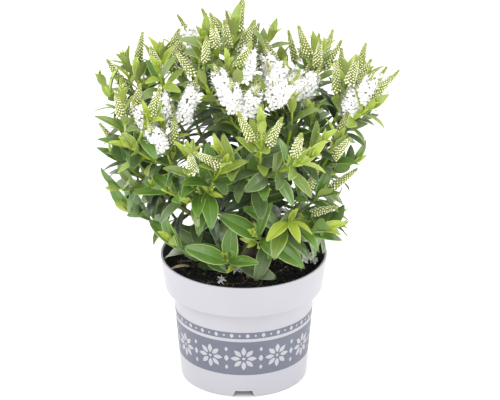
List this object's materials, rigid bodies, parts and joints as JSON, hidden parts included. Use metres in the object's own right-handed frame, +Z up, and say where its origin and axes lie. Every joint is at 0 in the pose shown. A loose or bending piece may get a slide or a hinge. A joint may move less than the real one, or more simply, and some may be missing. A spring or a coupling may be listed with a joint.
{
  "type": "potted flowering hebe shrub",
  "caption": "Evergreen shrub with leaves in crossed pairs and short flower spikes, branching from a woody stem in soil in a round plastic nursery pot.",
  "frame": {"origin": "middle of the pot's underside, on the ground", "axes": "+Z up, +X to the shrub's right as seen from its front, -Y towards its front"},
  "size_m": [0.217, 0.1864, 0.2855],
  "materials": {
    "pot": "smooth satin moulded plastic with a grey-blue printed band",
    "soil": "dark moist potting soil with pale fibres",
    "bark": "dull brown bark, greener towards the tips",
    "foliage": "slightly glossy leaves, bright yellow-green at the tips, with whitish-green bud spikes",
    "flowering": "slightly glossy leaves with white flower spikes"
  },
  "bodies": {
    "root": {"pot": "pot", "root_ball": "soil", "main_stem": "bark", "bough_back_mid": "bark", "bough_back_right": "bark", "bough_back_skirt": "bark", "bough_centre_bloom": "bark", "bough_crown_bloom": "bark", "bough_crown_rear": "bark", "bough_crown_top": "bark", "bough_front_left": "bark", "bough_front_low": "bark", "bough_front_mid": "bark", "bough_front_right": "bark", "bough_front_skirt": "bark", "bough_left_back": "bark", "bough_left_bloom": "bark", "bough_left_far": "bark", "bough_left_low": "bark", "bough_left_mid": "bark", "bough_left_rear": "bark", "bough_left_skirt": "bark", "bough_left_tip": "bark", "bough_right_far": "bark", "bough_right_front": "bark", "bough_right_low": "bark", "bough_right_mid": "bark", "bough_right_rear": "bark", "bough_right_skirt": "bark", "bough_upper_left": "bark", "bough_upper_right": "bark", "foliage_back_mid": "flowering", "foliage_back_right": "foliage", "foliage_back_skirt": "foliage", "foliage_centre_bloom": "flowering", "foliage_crown_bloom": "flowering", "foliage_crown_rear": "flowering", "foliage_crown_top": "foliage", "foliage_front_left": "foliage", "foliage_front_low": "foliage", "foliage_front_mid": "foliage", "foliage_front_right": "foliage", "foliage_front_skirt": "foliage", "foliage_lead": "foliage", "foliage_left_back": "flowering", "foliage_left_bloom": "flowering", "foliage_left_far": "foliage", "foliage_left_low": "foliage", "foliage_left_mid": "foliage", "foliage_left_rear": "foliage", "foliage_left_skirt": "foliage", "foliage_left_tip": "foliage", "foliage_right_far": "flowering", "foliage_right_front": "foliage", "foliage_right_low": "foliage", "foliage_right_mid": "foliage", "foliage_right_rear": "foliage", "foliage_right_skirt": "foliage", "foliage_upper_left": "foliage", "foliage_upper_right": "foliage"}
  },
  "joints": []
}
